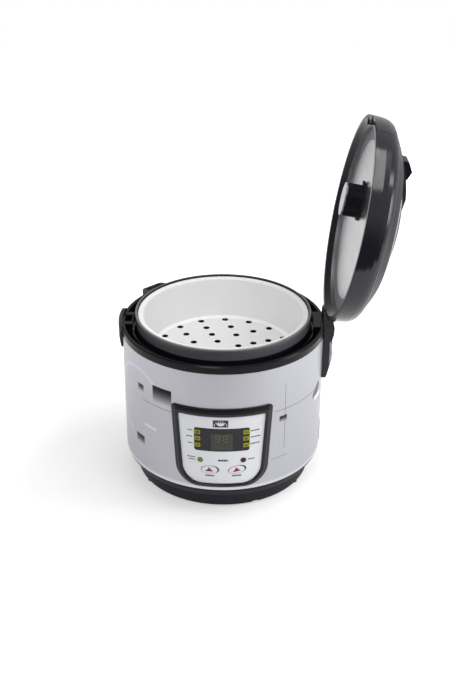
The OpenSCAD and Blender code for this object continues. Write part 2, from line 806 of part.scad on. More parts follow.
module vent_grommet() {
    color("#111113") on_lid() above_rim() translate([vent_x, 0, 0]) {
        difference() {
            vent_oval(-3, plate_h - 2.6, plate_h - run);
            cylinder(r = 8.3, h = 30);
        }
        block([-vent_w / 2 - 5.4, -3, plate_h - 4.6], [-vent_w / 2 - 2.8, 3, plate_h - 1]);
    }
}

module vent_body() {
    color("#151518") on_lid() above_rim() translate([vent_x, 0, 0]) difference() {
        union() {
            vent_oval(0, -10, plate_h - 2.7);
            ring(0, 8, plate_h - 2.8, 17.6);
        }
        vent_oval(2, -12, plate_h - 5);
        cylinder(r = 6, h = 30);
    }
}

// Steam goes in under the cap's edge and through the slots in its spigot
module vent_cap() {
    color("#c3c3c6") on_lid() above_rim() translate([vent_x, 0, 0]) {
        vent_oval(0, -12.6, -11.2);
        difference() {
            vent_oval(2.1, -11.2 - eps, -6);
            vent_oval(4.2, -12, -5);
            for (az = [0:60:120]) rotate([0, 0, az]) block([-vent_w, -3, -11.2], [vent_w, 3, -8.4]);
        }
    }
}

plug_depth = 12;

module steam_duct() {
    top = dome(-valve_x) - plug_depth - 0.2;
    color("#47484c") on_lid() above_rim() difference() {
        union() {
            block([valve_x - 13, -13, 18.1], [vent_x + 13, 13, 32]);
            translate([valve_x, 0, 31]) cylinder(r = 11, h = top - 31);
        }
        block([valve_x - 11, -11, 20], [vent_x + 11, 11, 30]);
        translate([valve_x, 0, 25]) cylinder(r = 9, h = 60);
        translate([vent_x, 0, 10]) cylinder(r = 9, h = 15);
    }
}

module steam_valve() {
    half_w = 12;
    seat = 0.9;
    color("#18181b") on_lid() above_rim() difference() {
        union() {
            difference() {
                rotate([90, 0, 0]) translate([0, 0, -half_w]) linear_extrude(2 * half_w)
                    polygon(rounded([[-90, 30], [-89.6, 55], [-77.4, 62], [-66.6, 57.8], [-66.2, 30]],
                        [1, 2, 1.5, 1, 1], 4));
                rotate_extrude() polygon(concat(dome_arc(99, 0, -seat, 12), [[0, 0], [99, 0]]));
            }
            translate([valve_x, 0, dome(-valve_x) - plug_depth]) cylinder(r = 10.4, h = plug_depth + 2);
        }
        translate([valve_x, 0, 0]) cylinder(r = 8.6, h = dome(-valve_x) + 1);
        for (y = [-7.5:5:7.5]) block([-86.5, y - 1.2, 50], [-80, y + 1.2, 70]);
    }
}

module latch_hook() {
    color("#b9babd") on_lid() above_rim() difference() {
        union() {
            rod_y(hook_pin_x, hook_pin_h, 2.4, -6, 6);
            rotate([90, 0, 0]) translate([0, 0, -6]) linear_extrude(12)
                polygon([[hook_face_x, -7], [-125, -7], [-125, 3], [-122.4, 11.5], [-126.1, 11.5],
                    [hook_face_x, 4.6], [hook_face_x, -4.4], [-130.2, -4.4], [-132.2, -5.2],
                    [-130.6, -7]]);
        }
        rod_y(hook_pin_x, hook_pin_h, 1.5 + run, -8, 8);
    }
}

module latch_pin() {
    color("silver") on_lid() above_rim() rod_y(hook_pin_x, hook_pin_h, 1.5, -13.4, 13.4);
}

module latch_spring() {
    color("#8c8d90") on_lid() above_rim() translate([hook_pin_x, 9.6, hook_pin_h])
        rotate([90, 0, 0]) coil(2.5, 0.4, 3, 2.8);
}

// ---------------------------------------------------------------- parts

base_shell();
bottom_cover();
rubber_feet();
base_screws();
outer_sleeve();
inner_liner();
heating_plate();
heating_element();
heater_posts();
thermal_fuse();
sensor_cup();
sensor_spring();
sensor_bracket();
collar_ring();
inner_pot();
steam_tray();
panel_bezel();
panel_face();
display_window();
display_module();
mode_lamps();
cancel_button();
start_button();
timer_button();
warm_button();
control_board();
tact_switches();
power_board();
power_relay();
power_inlet();
inlet_pins();
hinge_bracket();
hinge_pin();
hinge_spring();
drip_cup_holder();
drip_cup();
latch_keeper();
ladle_lug();
lid_cover();
lid_top_panel();
lid_spine();
lid_trim();
lid_base();
lid_screws();
lid_hinge_arm();
inner_plate();
lid_seal();
vent_body();
vent_cap();
vent_grommet();
steam_duct();
steam_valve();
release_button();
latch_hook();
latch_pin();
latch_spring();
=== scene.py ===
"""Looks of the electric cooker: materials, fine pieces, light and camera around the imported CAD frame."""

import math

import bmesh
import bpy
from mathutils import Matrix, Vector


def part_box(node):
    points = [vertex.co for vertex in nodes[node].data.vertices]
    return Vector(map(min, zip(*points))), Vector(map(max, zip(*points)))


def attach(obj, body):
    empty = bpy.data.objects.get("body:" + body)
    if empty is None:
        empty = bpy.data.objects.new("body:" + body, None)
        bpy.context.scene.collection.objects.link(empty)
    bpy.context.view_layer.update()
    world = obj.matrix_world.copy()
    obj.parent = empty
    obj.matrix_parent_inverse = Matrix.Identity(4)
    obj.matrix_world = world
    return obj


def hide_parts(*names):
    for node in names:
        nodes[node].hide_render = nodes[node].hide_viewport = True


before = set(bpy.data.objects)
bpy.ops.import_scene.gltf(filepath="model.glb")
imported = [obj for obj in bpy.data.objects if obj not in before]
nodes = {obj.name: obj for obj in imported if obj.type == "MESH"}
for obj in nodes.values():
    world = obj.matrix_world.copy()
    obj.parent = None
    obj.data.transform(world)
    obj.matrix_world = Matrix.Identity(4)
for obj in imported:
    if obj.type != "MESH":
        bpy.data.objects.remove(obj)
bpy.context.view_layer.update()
scene = bpy.context.scene
MM = 0.001

# ---------------------------------------------------------------- sizes that the CAD nodes give

sleeve_low, sleeve_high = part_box("outer_sleeve")
SLEEVE_R = sleeve_high.x
SLEEVE_Z0 = sleeve_low.z
COLLAR_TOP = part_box("collar_ring")[1].z
POT_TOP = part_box("inner_pot")[1].z
RIM_Z = COLLAR_TOP + 0.7 * MM
HINGE_X, HINGE_UP = 138.4 * MM, 5.8 * MM
HINGE = Vector((HINGE_X, 0, RIM_Z + HINGE_UP))
LID_OPEN = math.radians(100.5)

# A point drawn for the shut lid, with Z measured from the rim, goes to where the open lid stands
LID = (Matrix.Translation(HINGE) @ Matrix.Rotation(LID_OPEN, 4, "Y") @ Matrix.Translation(-HINGE)
       @ Matrix.Translation((0, 0, RIM_Z)))


# ---------------------------------------------------------------- materials

class Nodes:
    """A node tree with short names for the nodes that the materials and the studio need."""

    def __init__(self, tree, coordinates):
        self.tree = tree
        self.place = tree.nodes.new("ShaderNodeTexCoord").outputs[coordinates]

    def node(self, kind, **values):
        made = self.tree.nodes.new(kind)
        for key, value in values.items():
            setattr(made, key, value)
        return made

    def link(self, source, target):
        self.tree.links.new(source, target)

    def scaled(self, x, y, z):
        mapping = self.node("ShaderNodeMapping")
        mapping.inputs["Scale"].default_value = (x, y, z)
        self.link(self.place, mapping.inputs["Vector"])
        return mapping.outputs["Vector"]

    def noise(self, scale, detail=3.0, roughness=0.5, vector=None):
        made = self.node("ShaderNodeTexNoise")
        made.inputs["Scale"].default_value = scale
        made.inputs["Detail"].default_value = detail
        made.inputs["Roughness"].default_value = roughness
        self.link(vector or self.place, made.inputs["Vector"])
        return made.outputs["Fac"]

    def math(self, operation, a, b=None, c=None):
        made = self.node("ShaderNodeMath", operation=operation)
        for socket, value in zip(made.inputs, (a, b, c)):
            if isinstance(value, (int, float)):
                socket.default_value = value
            elif value is not None:
                self.link(value, socket)
        return made.outputs[0]

    def axes(self, source=None):
        split = self.node("ShaderNodeSeparateXYZ")
        self.link(source or self.place, split.inputs[0])
        return split.outputs[0], split.outputs[1], split.outputs[2]

    def hypotenuse(self, x, y):
        squares = self.math("ADD", self.math("MULTIPLY", x, x), self.math("MULTIPLY", y, y))
        return self.math("SQRT", squares)

    def radius(self):
        """How far a point lies from the cooker's axis."""
        x, y, _ = self.axes()
        return self.hypotenuse(x, y)

    def joined(self, x, y, z):
        made = self.node("ShaderNodeCombineXYZ")
        for socket, value in zip(made.inputs, (x, y, z)):
            if isinstance(value, (int, float)):
                socket.default_value = value
            else:
                self.link(value, socket)
        return made.outputs[0]

    def spread(self, source, low, high, out_low=0.0, out_high=1.0, ramp="LINEAR"):
        """Takes the range from low to high to the range from out_low to out_high."""
        made = self.node("ShaderNodeMapRange", interpolation_type=ramp)
        made.inputs["From Min"].default_value = low
        made.inputs["From Max"].default_value = high
        made.inputs["To Min"].default_value = out_low
        made.inputs["To Max"].default_value = out_high
        self.link(source, made.inputs["Value"])
        return made.outputs["Result"]

    def between(self, value, low, high, soft):
        """1 where value lies between low and high, with edges that fade over soft."""
        rise = self.spread(value, low - soft, low + soft)
        fall = self.spread(value, high - soft, high + soft, 1.0, 0.0)
        return self.math("MULTIPLY", rise, fall)

    def mix(self, amount, a, b):
        made = self.node("ShaderNodeMix", data_type="RGBA")
        self.fill(made.inputs["Factor"], amount)
        self.fill(made.inputs["A"], a)
        self.fill(made.inputs["B"], b)
        return made.outputs["Result"]

    def fill(self, socket, value):
        if isinstance(value, (int, float)):
            socket.default_value = value
        elif isinstance(value, tuple):
            socket.default_value = (*value, 1)
        else:
            self.link(value, socket)


class Graph(Nodes):
    """A new material, its node tree and its shader."""

    def __init__(self, name):
        self.material = bpy.data.materials.new(name)
        self.material.use_nodes = True
        super().__init__(self.material.node_tree, "Object")
        self.shader = self.tree.nodes["Principled BSDF"]

    def bump(self, height, strength, distance):
        made = self.node("ShaderNodeBump")
        made.inputs["Strength"].default_value = strength
        made.inputs["Distance"].default_value = distance
        self.link(height, made.inputs["Height"])
        self.link(made.outputs["Normal"], self.shader.inputs["Normal"])

    def shade(self, **values):
        for key, value in values.items():
            self.fill(self.shader.inputs[key.replace("_", " ")], value)
        return self.material


def tone(colour, factor):
    return tuple(min(1.0, c * factor) for c in colour)


def moulded(name, colour, rough=0.45, grain=1800, depth=0.00004, specular=0.15, clouding=0.08):
    """Moulded plastic with a fine spark-eroded grain and slight clouds of gloss."""
    g = Graph(name)
    clouds = g.noise(24, 4)
    fine = g.noise(grain, 2)
    g.bump(fine, 0.35, depth)
    g.link(g.mix(g.spread(clouds, 0.3, 0.7), tone(colour, 1 - clouding), tone(colour, 1 + clouding)),
           g.shader.inputs["Base Color"])
    g.link(g.spread(g.noise(9, 3), 0.3, 0.7, rough - 0.04, rough + 0.05), g.shader.inputs["Roughness"])
    return g.shade(Specular_IOR_Level=specular)


def glossy(name, colour, rough=0.12, specular=0.3, clear=0.0):
    """Polished plastic: a faint orange peel, and a film of dust that dulls it in places."""
    g = Graph(name)
    g.bump(g.noise(160, 2), 0.04, 0.00005)
    dust = g.noise(34, 6, 0.65)
    g.link(g.spread(dust, 0.35, 0.8, rough, rough + 0.08), g.shader.inputs["Roughness"])
    g.link(g.mix(g.spread(g.noise(900, 2), 0.45, 0.75), tone(colour, 0.92), tone(colour, 1.12)),
           g.shader.inputs["Base Color"])
    return g.shade(Specular_IOR_Level=specular, Transmission_Weight=clear)


def metal(name, colour, rough=0.3, stretch=(30, 30, 2400), streak=0.12, depth=0.00001):
    """Metal with fine grinding marks, which lie across the direction that stretch repeats most."""
    g = Graph(name)
    marks = g.noise(1, 3, 0.6, g.scaled(*stretch))
    g.link(g.mix(g.spread(marks, 0.25, 0.75), tone(colour, 1 - streak), tone(colour, 1 + streak)),
           g.shader.inputs["Base Color"])
    g.link(g.spread(marks, 0.25, 0.75, rough - 0.07, rough + 0.09), g.shader.inputs["Roughness"])
    g.bump(marks, 0.25, depth)
    return g.shade(Metallic=1.0)


def turned(name, colour, rough=0.3, pitch=2600):
    """Metal turned on a lathe: rings round the body's axis."""
    g = Graph(name)
    rings = g.noise(1, 2, 0.5, g.joined(g.math("MULTIPLY", g.radius(), pitch), 0.0, 0.0))
    g.link(g.mix(g.spread(rings, 0.3, 0.7), tone(colour, 0.9), tone(colour, 1.08)),
           g.shader.inputs["Base Color"])
    g.link(g.spread(rings, 0.3, 0.7, rough - 0.06, rough + 0.08), g.shader.inputs["Roughness"])
    g.bump(rings, 0.3, 0.00001)
    return g.shade(Metallic=1.0)


def rubber(name, colour, rough=0.7):
    """Rubber or silicone: matt and finely pitted, with paler bloom in places."""
    g = Graph(name)
    g.bump(g.noise(2600, 3), 0.4, 0.00004)
    g.link(g.mix(g.noise(60, 4), tone(colour, 0.8), tone(colour, 1.25)), g.shader.inputs["Base Color"])
    g.link(g.spread(g.noise(40, 3), 0.3, 0.7, rough - 0.08, rough + 0.08), g.shader.inputs["Roughness"])
    return g.shade(Specular_IOR_Level=0.25)


# The sleeve's print: azimuths in degrees from the middle of the front, and heights in millimetres
# above the sleeve's lower edge. A box is its middle azimuth, half its width, its foot and its top.
# PRINT_R is the sleeve's radius in millimetres, which turns the ring's azimuths into distances
SHADED_BOXES = ((-51.7, 2.6, 118.4, 129), (-35, 6.5, 113.9, 137.6), (-53.8, 4.0, 37.1, 50.7),
                (35.8, 2.6, 89.9, 98.6))
FINE_RULES = ((-39.5, 10.5, 107.6, 108.3), (47, 17, 107.6, 108.3), (33.7, 5.6, 37.2, 37.8),
              (37.0, 0.14, 48.5, 144.9))
PALE_BAR = (-44.3, 5.0, 69.5, 73.5)
RING_AZ, RING_H, RING_IN, RING_OUT = -55.4, 96.2, 51.9, 56.1
PRINT_R = 134
LENS_AZ, LENS_H = 67.6, 103
LENS_HALF_AZ, LENS_HALF_H, LENS_LEAN = 5.2, 11.5, 0.25
LENS_FOOT = (69.5, 5.0, 90.5, 96.5)


def printed_sleeve():
    """Brushed sheet steel with a printed pattern of shaded boxes, fine rules, a lens and a soft ring."""
    g = Graph("printed_steel")
    x, y, z = g.axes()
    azimuth = g.math("MULTIPLY", g.math("ARCTAN2", x, g.math("MULTIPLY", y, -1.0)), 180 / math.pi)
    height = g.math("MULTIPLY", g.math("SUBTRACT", z, SLEEVE_Z0), 1 / MM)

    # The steel: brushed round the sleeve, with a painted highlight at the foot, paler up high, cooler on
    # the right
    grain = g.joined(g.math("MULTIPLY", azimuth, 0.16), g.math("MULTIPLY", height, 3.4), 0.0)
    brush = g.noise(1, 3, 0.55, grain)
    colour = g.mix(g.spread(brush, 0.2, 0.8), (0.375, 0.37, 0.405), (0.48, 0.475, 0.51))
    colour = g.mix(g.spread(g.noise(5, 2), 0.3, 0.7, 0.0, 0.25), colour, (0.52, 0.52, 0.56))
    # Painted highlight: the lowest few millimetres are lightened, as if the rolled edge caught the light
    colour = g.mix(g.spread(height, 2.5, 6.0, 0.55, 0.0), colour, (0.80, 0.80, 0.84))
    colour = g.mix(g.spread(height, 110, 165, 0.0, 0.15), colour, (0.62, 0.62, 0.66))
    colour = g.mix(g.spread(azimuth, 5, 45, 0.0, 0.28), colour, (0.355, 0.375, 0.405))

    def box(middle, half_width, low, high, strength=1.0):
        across = g.between(azimuth, middle - half_width, middle + half_width, 0.12)
        up = g.between(height, low, high, 0.3)
        return g.math("MULTIPLY", g.math("MULTIPLY", across, up), strength)

    # The ring fades out towards the panel and below the fine rule on its right
    across = g.math("MULTIPLY", g.math("SUBTRACT", azimuth, RING_AZ), math.radians(PRINT_R))
    distance = g.hypotenuse(across, g.math("SUBTRACT", height, RING_H))
    before_panel = g.spread(azimuth, -66, -56, 1.0, 0.0)
    reach = g.math("MAXIMUM", before_panel, g.spread(height, 104, 122, 0.0, 1.0))
    ring = g.math("MULTIPLY", g.between(distance, RING_IN, RING_OUT, 1.8), reach)
    colour = g.mix(g.math("MULTIPLY", ring, 0.5), colour, (0.62, 0.61, 0.80))
    colour = g.mix(box(*PALE_BAR, strength=0.45), colour, (0.74, 0.73, 0.88))

    for middle, half_width, low, high in SHADED_BOXES:
        fade = g.math("SUBTRACT", 1.0, g.math("POWER", g.spread(height, low, high, 1.0, 0.0), 2.2))
        shadow = g.mix(fade, (0.42, 0.42, 0.46), (0.003, 0.003, 0.004))
        colour = g.mix(box(middle, half_width, low, high), colour, shadow)
    for rule in FINE_RULES:
        colour = g.mix(box(*rule, strength=0.9), colour, (0.06, 0.06, 0.07))

    # The lens stands between two arcs that lean, and a pale patch lies at its foot
    lift = g.math("SUBTRACT", height, LENS_H)
    lens_x = g.math("ADD", g.math("SUBTRACT", azimuth, LENS_AZ), g.math("MULTIPLY", lift, -LENS_LEAN))
    lens_y = g.math("DIVIDE", lift, LENS_HALF_H)
    narrowing = g.math("SUBTRACT", 1.0, g.math("MULTIPLY", lens_y, lens_y))
    lens_edge = g.math("MULTIPLY", narrowing, LENS_HALF_AZ)
    lens = g.spread(g.math("SUBTRACT", lens_edge, g.math("ABSOLUTE", lens_x)), -0.1, 0.5)
    glass = g.mix(g.spread(lift, -11, 11), (0.16, 0.16, 0.17), (0.06, 0.06, 0.065))
    colour = g.mix(lens, colour, glass)
    colour = g.mix(box(*LENS_FOOT, strength=0.75), colour, (0.85, 0.85, 0.87))

    g.link(colour, g.shader.inputs["Base Color"])
    g.link(g.spread(brush, 0.2, 0.8, 0.36, 0.50), g.shader.inputs["Roughness"])
    g.bump(brush, 0.12, 0.00002)
    return g.shade(Metallic=0.75, Specular_IOR_Level=0.4)


# Where the lid's satin dome begins, above the rim
SHOULDER_LOW, SHOULDER_HIGH = 25 * MM, 31 * MM


def lid_skin():
    """Black lid plastic: polished round the wall, and satin from the shoulder up over the dome."""
    g = Graph("lid_gloss")
    x, _, z = g.axes()
    along = g.math("MULTIPLY", g.math("SUBTRACT", x, HINGE.x), math.sin(LID_OPEN))
    across = g.math("MULTIPLY", g.math("SUBTRACT", z, HINGE.z), math.cos(LID_OPEN))
    height = g.math("ADD", g.math("ADD", along, across), HINGE.z - RIM_Z)
    satin = g.spread(height, SHOULDER_LOW, SHOULDER_HIGH)
    g.bump(g.noise(160, 2), 0.04, 0.00005)
    colour = g.mix(satin, (0.0075, 0.0073, 0.0115), (0.036, 0.035, 0.041))
    colour = g.mix(g.spread(g.noise(900, 2), 0.45, 0.75), colour, (0.012, 0.012, 0.017))
    g.link(colour, g.shader.inputs["Base Color"])
    dust = g.spread(g.noise(34, 6, 0.65), 0.35, 0.8, 0.12, 0.20)
    g.link(g.math("MULTIPLY_ADD", satin, 0.2, dust), g.shader.inputs["Roughness"])
    g.link(g.spread(satin, 0, 1, 0.40, 0.02), g.shader.inputs["Specular IOR Level"])
    return g.material


# The pot's outside, and how far its grey band reaches below the lip; further down, the outside is painted
# dark as shade
POT_SIDE_R = 114.5 * MM
BAND = 15.5 * MM


def coated_pot():
    """Dark coating with faint turned rings, grey outside under the lip with painted shade further down, and
    a bare metal lip painted brighter in front as a highlight.
    """
    g = Graph("pot_coating")
    _, y, z = g.axes()
    radius = g.radius()
    turning = g.joined(g.math("MULTIPLY", radius, 1800), 0.0, g.math("MULTIPLY", z, 900))
    rings = g.noise(1, 2, 0.5, turning)
    outside = g.spread(radius, POT_SIDE_R - 0.3 * MM, POT_SIDE_R + 0.3 * MM)
    # Painted shade: below the grey band the pot's outside is painted near black, for the shade in the
    # channel beside the collar
    below = g.spread(z, POT_TOP - BAND, POT_TOP - BAND + 0.5 * MM)
    outside_and_painted_shade = g.mix(below, (0.006, 0.006, 0.007), (0.15, 0.15, 0.17))
    coat = g.mix(outside, (0.022, 0.022, 0.024), outside_and_painted_shade)
    coat = g.mix(g.spread(rings, 0.3, 0.7, 0.0, 0.2), coat, (0.03, 0.03, 0.034))
    # Bare metal at the lip, painted brighter towards the front as a highlight
    lip = g.spread(z, POT_TOP - 0.55 * MM, POT_TOP - 0.35 * MM)
    bare_lip_and_highlight = g.math("MULTIPLY", lip, g.spread(y, -60 * MM, 20 * MM, 0.5, 0.12))
    colour = g.mix(bare_lip_and_highlight, coat, (0.34, 0.32, 0.22))
    g.link(colour, g.shader.inputs["Base Color"])
    g.link(g.spread(rings, 0.3, 0.7, 0.30, 0.42), g.shader.inputs["Roughness"])
    g.bump(rings, 0.2, 0.00001)
    return g.shade(Metallic=0.35, Specular_IOR_Level=0.35)


# The upper side of the tray's floor, and the radius of its flat part
TRAY_FLOOR = 175.6 * MM
TRAY_FLAT_R = 92 * MM


def perforated_tray():
    """White moulded tray whose floor has faint scouring rings, with walls painted paler than the floor as
    painted light, and the holes' walls in shade.
    """
    g = Graph("tray_white")
    radius = g.radius()
    height = g.axes()[2]
    normal = g.node("ShaderNodeNewGeometry").outputs["Normal"]
    upright = g.math("ABSOLUTE", g.axes(normal)[2])
    inward = g.spread(radius, TRAY_FLAT_R, TRAY_FLAT_R + 1 * MM, 1.0, 0.0)
    low = g.spread(height, TRAY_FLOOR + 0.3 * MM, TRAY_FLOOR + 0.8 * MM, 1.0, 0.0)
    flat = g.math("MULTIPLY", inward, low)
    rings = g.noise(1, 2, 0.5, g.joined(g.math("MULTIPLY", radius, 420), 0.0, 0.0))
    scoured = g.mix(g.spread(rings, 0.35, 0.65), (0.66, 0.66, 0.665), (0.72, 0.72, 0.725))
    # Painted light: the upright walls are painted paler than the floor, for the light they catch
    walls = g.mix(g.spread(g.noise(24, 4), 0.3, 0.7), (0.81, 0.81, 0.815), (0.83, 0.83, 0.835))
    colour = g.mix(flat, walls, scoured)
    hole = g.math("MULTIPLY", flat, g.spread(upright, 0.3, 0.6, 1.0, 0.0))
    g.link(g.mix(hole, colour, (0.03, 0.03, 0.03)), g.shader.inputs["Base Color"])
    g.bump(g.noise(1400, 2), 0.35, 0.00002)
    g.link(g.spread(g.noise(9, 3), 0.3, 0.7, 0.32, 0.41), g.shader.inputs["Roughness"])
    return g.shade(Specular_IOR_Level=0.3)


def inlet_skin():
    """Black plastic whose flange, just proud of the sleeve, is painted in the steel's grey."""
    g = Graph("inlet_skin")
    flange = g.spread(g.radius(), SLEEVE_R + 0.1 * MM, SLEEVE_R + 0.3 * MM)
    paint = g.mix(g.noise(60, 3), (0.42, 0.42, 0.45), (0.48, 0.48, 0.51))
    g.link(g.mix(flange, (0.019, 0.0185, 0.0235), paint), g.shader.inputs["Base Color"])
    g.bump(g.noise(1800, 2), 0.35, 0.00004)
    return g.shade(Roughness=0.46, Specular_IOR_Level=0.1)


def assign(material, *names):
    for name in names:
        mesh = nodes[name].data
        mesh.materials.clear()
        mesh.materials.append(material)


base_black = moulded("base_black", (0.019, 0.0185, 0.0235), 0.48, specular=0.05)
collar_black = glossy("collar_black", (0.0045, 0.0045, 0.0065), 0.22, 0.14)
hinge_black = moulded("hinge_black", (0.030, 0.030, 0.035), 0.40, 1500)
lid_gloss = lid_skin()
lid_satin = moulded("lid_satin", (0.009, 0.009, 0.0135), 0.30)
lid_back = moulded("lid_back", (0.040, 0.039, 0.044), 0.40, specular=0.01)
panel_gloss = glossy("panel_gloss", (0.006, 0.0055, 0.0075), 0.14, 0.3)
rubber_black = rubber("rubber_black", (0.010, 0.010, 0.010))
silicone = rubber("silicone", (0.15, 0.15, 0.16), 0.5)
brushed = metal("brushed_steel", (0.62, 0.62, 0.64), 0.30)
plate_steel = metal("plate_steel", (0.33, 0.33, 0.34), 0.32, (500, 14, 500), 0.10, 0.00002)
cap_steel = metal("cap_steel", (0.50, 0.50, 0.52), 0.45, (40, 700, 40), 0.06)
black_steel = metal("black_steel", (0.05, 0.05, 0.055), 0.34, (300, 300, 300), 0.2)
sleeve_print = printed_sleeve()
spring_steel = metal("spring_steel", (0.42, 0.42, 0.44), 0.28, (2400, 2400, 2400))
pin_steel = metal("pin_steel", (0.72, 0.72, 0.74), 0.16, (60, 60, 900), 0.05)
sheet_steel = metal("sheet_steel", (0.52, 0.53, 0.55), 0.38, (160, 160, 160), 0.18)
cast_plate = turned("cast_plate", (0.56, 0.56, 0.58), 0.35)
element_steel = metal("element_steel", (0.12, 0.10, 0.09), 0.5, (300, 300, 300), 0.3)
ceramic = moulded("ceramic", (0.66, 0.62, 0.52), 0.6, 900)
pot_coat = coated_pot()
tray_white = perforated_tray()
panel_silver = moulded("panel_silver", (0.64, 0.655, 0.675), 0.34, 2400, 0.00001, 0.4, 0.02)
window_dark = glossy("window_dark", (0.013, 0.012, 0.017), 0.12, 0.28)
lcd_olive = glossy("lcd_olive", (0.045, 0.043, 0.032), 0.2, 0.25)
lcd_digit = moulded("lcd_digit", (0.090, 0.088, 0.062), 0.3)
board_green = moulded("board_green", (0.02, 0.12, 0.05), 0.35, 600)
component_dark = moulded("component_dark", (0.02, 0.02, 0.02), 0.5)
grey_plastic = moulded("grey_plastic", (0.10, 0.10, 0.11), 0.5)
icon_green = moulded("icon_green", (0.25, 0.255, 0.006), 0.4, specular=0.05)
ink_dark = moulded("ink_dark", (0.045, 0.045, 0.05), 0.4)
ink_red = moulded("ink_red", (0.24, 0.03, 0.034), 0.4)
button_white = glossy("button_white", (0.70, 0.66, 0.68), 0.2, 0.4)
button_red = glossy("button_red", (0.055, 0.018, 0.026), 0.2, 0.25)
button_green = glossy("button_green", (0.13, 0.17, 0.03), 0.2, 0.3)
trim_chrome = metal("trim_chrome", (0.36, 0.36, 0.35), 0.26, (900, 900, 900), 0.06)

cup_clear = glossy("cup_clear", (0.72, 0.74, 0.77), 0.18, 0.5, clear=0.75)

assign(base_black, "base_shell")
assign(inlet_skin(), "power_inlet")
assign(grey_plastic, "bottom_cover", "steam_duct")
assign(rubber_black, "rubber_feet", "vent_grommet")
assign(pin_steel, "base_screws", "lid_screws", "hinge_pin", "latch_pin", "inlet_pins")
assign(sleeve_print, "outer_sleeve")
assign(brushed, "sensor_cup")
assign(black_steel, "latch_hook")
assign(plate_steel, "inner_plate")
assign(cap_steel, "vent_cap")
assign(sheet_steel, "inner_liner", "sensor_bracket")
assign(cast_plate, "heating_plate")
assign(element_steel, "heating_element")
assign(ceramic, "heater_posts", "thermal_fuse")
assign(spring_steel, "sensor_spring", "hinge_spring", "latch_spring")
assign(collar_black, "collar_ring")
assign(hinge_black, "latch_keeper", "hinge_bracket", "drip_cup_holder", "ladle_lug", "lid_hinge_arm")
assign(pot_coat, "inner_pot")
assign(tray_white, "steam_tray")
assign(panel_gloss, "panel_bezel")
assign(panel_silver, "panel_face")
assign(window_dark, "display_window", "display_module")
assign(icon_green, "mode_lamps")
assign(button_white, "cancel_button", "start_button")
assign(button_red, "timer_button")
assign(button_green, "warm_button")
assign(board_green, "control_board", "power_board")
assign(component_dark, "tact_switches", "power_relay")
assign(cup_clear, "drip_cup")
assign(lid_gloss, "lid_cover", "release_button")
assign(lid_back, "lid_top_panel", "lid_spine")
assign(lid_satin, "lid_base", "vent_body", "steam_valve")
assign(silicone, "lid_seal")
assign(trim_chrome, "lid_trim")

# ---------------------------------------------------------------- mesh helpers

def piece(name, vertices, faces, material, body, place=None, sharp=38):
    """A solid made of the given vertices and faces, in metres, that rides on a CAD body."""
    mesh = bpy.data.meshes.new(name)
    mesh.from_pydata([tuple(v) for v in vertices], [], faces)
    if place:
        mesh.transform(place)
    build = bmesh.new()
    build.from_mesh(mesh)
    bmesh.ops.remove_doubles(build, verts=build.verts, dist=1e-6)
    bmesh.ops.recalc_face_normals(build, faces=build.faces)
    build.to_mesh(mesh)
    build.free()
    mesh.shade_smooth()
    mesh.set_sharp_from_angle(angle=math.radians(sharp))
    mesh.materials.append(material)
    made = bpy.data.objects.new(name, mesh)
    scene.collection.objects.link(made)
    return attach(made, body)


def loft(rings, closed=False):
    """Vertices and faces of a skin over rings of equal length. An open skin is capped at both ends."""
    count = len(rings[0])
    vertices = [p for ring in rings for p in ring]
    faces = []
    for i in range(len(rings) if closed else len(rings) - 1):
        j = (i + 1) % len(rings)
        for k in range(count):
            m = (k + 1) % count
            faces.append((i * count + k, i * count + m, j * count + m, j * count + k))
    if not closed:
        faces.append(tuple(range(count))[::-1])
        faces.append(tuple(range((len(rings) - 1) * count, len(rings) * count)))
    return vertices, faces


def merged(parts):
    """Several (vertices, faces) as one."""
    vertices, faces = [], []
    for part_vertices, part_faces in parts:
        start = len(vertices)
        vertices += part_vertices
        faces += [tuple(start + i for i in face) for face in part_faces]
    return vertices, faces


def rounded(points, radii, steps=10):
    """The outline through points with each corner turned into an arc of its own radius."""
    out = []
    for i, corner in enumerate(points):
        b = Vector(corner)
        u = (Vector(points[i - 1]) - b).normalized()
        v = (Vector(points[(i + 1) % len(points)]) - b).normalized()
        half = u.angle(v) / 2
        centre = b + (u + v).normalized() * radii[i] / math.sin(half)
        start = b + u * radii[i] / math.tan(half) - centre
        end = b + v * radii[i] / math.tan(half) - centre
        a0, a1 = math.atan2(start.y, start.x), math.atan2(end.y, end.x)
        turn = (a1 - a0 + math.pi) % (2 * math.pi) - math.pi
        out += [(centre.x + radii[i] * math.cos(a0 + turn * k / steps),
                 centre.y + radii[i] * math.sin(a0 + turn * k / steps)) for k in range(steps + 1)]
    return out


def on_sleeve(x, h, out):
    """The point x across the front, h above the sleeve's lower edge and out from it, in millimetres."""
    r = SLEEVE_R + out * MM
    return (x * MM, -math.sqrt(r * r - x * x * MM * MM), SLEEVE_Z0 + h * MM)


def curved_plate(outline, low, high, slice_width=2.5):
    """A plate of the given outline that follows the sleeve, cut into slices so that it bends."""
    build = bmesh.new()
    bottom = [build.verts.new((x, h, low)) for x, h in outline]
    top = [build.verts.new((x, h, high)) for x, h in outline]
    build.faces.new(bottom)
    build.faces.new(top[::-1])
    for i in range(len(outline)):
        j = (i + 1) % len(outline)
        build.faces.new((bottom[i], top[i], top[j], bottom[j]))
    xs = [x for x, h in outline]
    cut = math.floor(min(xs) / slice_width) * slice_width + slice_width
    while cut < max(xs):
        bmesh.ops.bisect_plane(build, geom=build.verts[:] + build.edges[:] + build.faces[:],
                               plane_co=(cut, 0, 0), plane_no=(1, 0, 0), dist=1e-5)
        cut += slice_width
    build.verts.index_update()
    vertices = [on_sleeve(*v.co) for v in build.verts]
    faces = [tuple(v.index for v in face.verts) for face in build.faces]
    build.free()
    return vertices, faces


